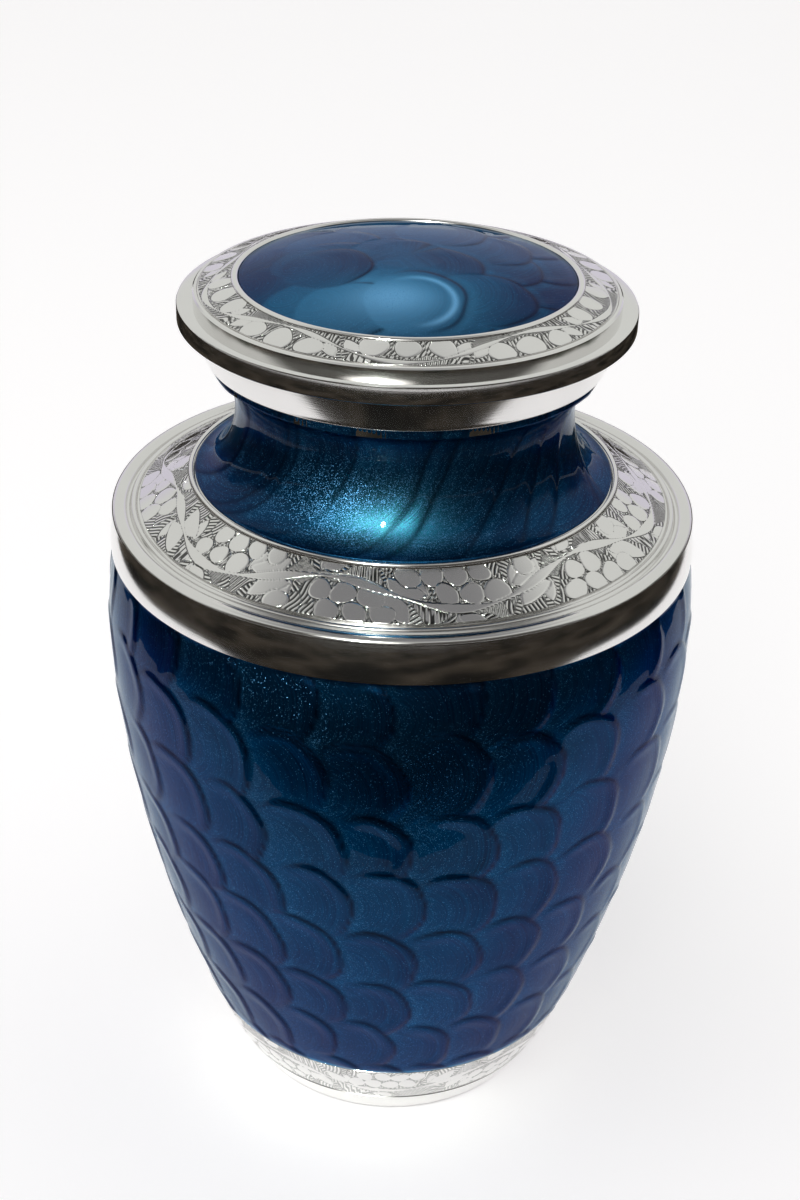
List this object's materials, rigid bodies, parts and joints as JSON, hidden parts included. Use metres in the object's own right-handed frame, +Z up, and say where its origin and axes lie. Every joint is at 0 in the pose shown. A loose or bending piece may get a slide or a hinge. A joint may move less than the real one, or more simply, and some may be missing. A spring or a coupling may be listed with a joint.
{
  "type": "funeral urn",
  "caption": "Tall shouldered metal urn on a short foot, hollow, blue enamel with bright engraved bands, and a low domed lid that lifts off.",
  "frame": {"origin": "centre of the foot's underside, where the urn stands", "axes": "+Z up along the urn's own axis; the urn is round, so +X and +Y are alike, with -Y taken as the front"},
  "size_m": [0.1744, 0.1744, 0.2708],
  "materials": {
    "polished_metal": "bright turned and polished, with hand-cut engraved bands",
    "blue_enamel": "glossy pearl-blue enamel with fine metallic flake over a fish-scale relief"
  },
  "bodies": {
    "root": {"vessel": "polished_metal", "lid": "polished_metal"}
  },
  "joints": []
}
